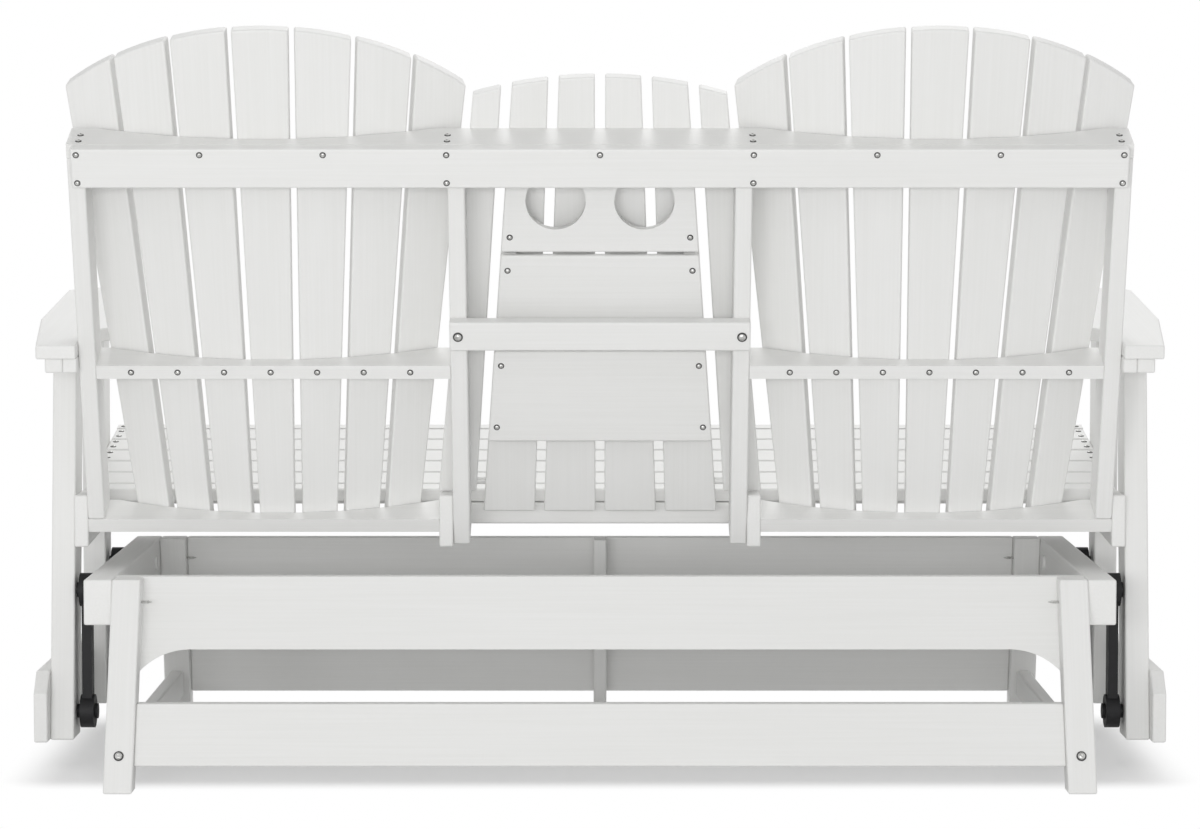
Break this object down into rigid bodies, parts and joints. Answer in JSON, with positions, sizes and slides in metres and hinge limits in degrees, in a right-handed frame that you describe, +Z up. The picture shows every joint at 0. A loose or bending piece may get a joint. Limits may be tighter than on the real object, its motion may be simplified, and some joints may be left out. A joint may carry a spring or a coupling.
{
  "type": "glider loveseat",
  "caption": "Double outdoor glider seat of plastic lumber with fan-shaped slatted backs and a fold-down centre console with cup holes, hung on swing arms from a low base.",
  "frame": {"origin": "on the floor under the middle of the base", "axes": "+Z up, -Y the way the sitter faces, +X the sitter's left"},
  "size_m": [1.638, 0.8037, 1.0529],
  "materials": {
    "white_lumber": "white plastic lumber with a fine grain",
    "black_swing_arm": "black coated steel",
    "fastener_steel": "stainless steel"
  },
  "bodies": {
    "base": {"base_beam_rear": "white_lumber", "base_board_front": "white_lumber", "base_centre_leg": "white_lumber", "base_leg_bolts": "fastener_steel", "base_leg_front_left": "white_lumber", "base_leg_front_right": "white_lumber", "base_leg_rear_left": "white_lumber", "base_leg_rear_right": "white_lumber", "base_pivot_bolts": "black_swing_arm", "base_rail_left": "white_lumber", "base_rail_right": "white_lumber", "base_rail_screws": "fastener_steel", "base_side_rail_left": "white_lumber", "base_side_rail_right": "white_lumber", "base_stretcher_rear": "white_lumber"},
    "seat": {"arm_rails_left": "white_lumber", "arm_rails_right": "white_lumber", "armrest_left": "white_lumber", "armrest_right": "white_lumber", "back_apron": "white_lumber", "back_crossbar": "white_lumber", "back_plate_lower_left": "white_lumber", "back_plate_lower_right": "white_lumber", "back_plate_middle_left": "white_lumber", "back_plate_middle_right": "white_lumber", "back_plate_top": "white_lumber", "back_post_middle_left": "white_lumber", "back_post_middle_right": "white_lumber", "back_post_outer_left": "white_lumber", "back_post_outer_right": "white_lumber", "back_screws": "fastener_steel", "back_side_strips": "white_lumber", "back_slats_left": "white_lumber", "back_slats_right": "white_lumber", "console_pivot_pins": "white_lumber", "end_leg_front_left": "white_lumber", "end_leg_front_right": "white_lumber", "end_leg_rear_left": "white_lumber", "end_leg_rear_right": "white_lumber", "end_rail_left": "white_lumber", "end_rail_right": "white_lumber", "seat_cross_rail": "white_lumber", "seat_front_apron": "white_lumber", "seat_nosing_slat": "white_lumber", "seat_pivot_bolts": "black_swing_arm", "seat_rear_half_slat": "white_lumber", "seat_slats": "white_lumber", "stringer_inner_left": "white_lumber", "stringer_inner_right": "white_lumber", "stringer_outer_left": "white_lumber", "stringer_outer_right": "white_lumber"},
    "console": {"console_panel_cups": "white_lumber", "console_panel_lower": "white_lumber", "console_panel_middle": "white_lumber", "console_screws": "fastener_steel", "console_slats": "white_lumber"},
    "swing_arm_front_left": {"swing_arm_front_left": "black_swing_arm"},
    "swing_arm_front_right": {"swing_arm_front_right": "black_swing_arm"},
    "swing_arm_rear_left": {"swing_arm_rear_left": "black_swing_arm"},
    "swing_arm_rear_right": {"swing_arm_rear_right": "black_swing_arm"}
  },
  "joints": [
    {"name": "swing_rear_left", "type": "hinge", "parent": "base", "child": "swing_arm_rear_left", "pos_m": [0.739, 0.121, 0.251], "axis": [1, 0, 0], "range_deg": [-15, 15]},
    {"name": "swing_front_left", "type": "hinge", "parent": "base", "child": "swing_arm_front_left", "pos_m": [0.739, -0.24196, 0.251], "axis": [1, 0, 0], "range_deg": [-15, 15]},
    {"name": "swing_rear_right", "type": "hinge", "parent": "base", "child": "swing_arm_rear_right", "pos_m": [-0.739, 0.121, 0.251], "axis": [1, 0, 0], "range_deg": [-15, 15]},
    {"name": "swing_front_right", "type": "hinge", "parent": "base", "child": "swing_arm_front_right", "pos_m": [-0.739, -0.24196, 0.251], "axis": [1, 0, 0], "range_deg": [-15, 15]},
    {"name": "seat_level", "type": "hinge", "parent": "swing_arm_rear_left", "child": "seat", "pos_m": [0.739, 0.121, 0.075], "axis": [1, 0, 0], "range_deg": [-15, 15]},
    {"name": "console_fold", "type": "hinge", "parent": "seat", "child": "console", "pos_m": [0, 0.07236, 0.40472], "axis": [1, 0, 0], "range_deg": [0, 100]}
  ],
  "couplings": [
    {"joint": "swing_rear_left", "follows": "seat_level", "ratio": -1},
    {"joint": "swing_front_left", "follows": "seat_level", "ratio": -1},
    {"joint": "swing_rear_right", "follows": "seat_level", "ratio": -1},
    {"joint": "swing_front_right", "follows": "seat_level", "ratio": -1}
  ]
}
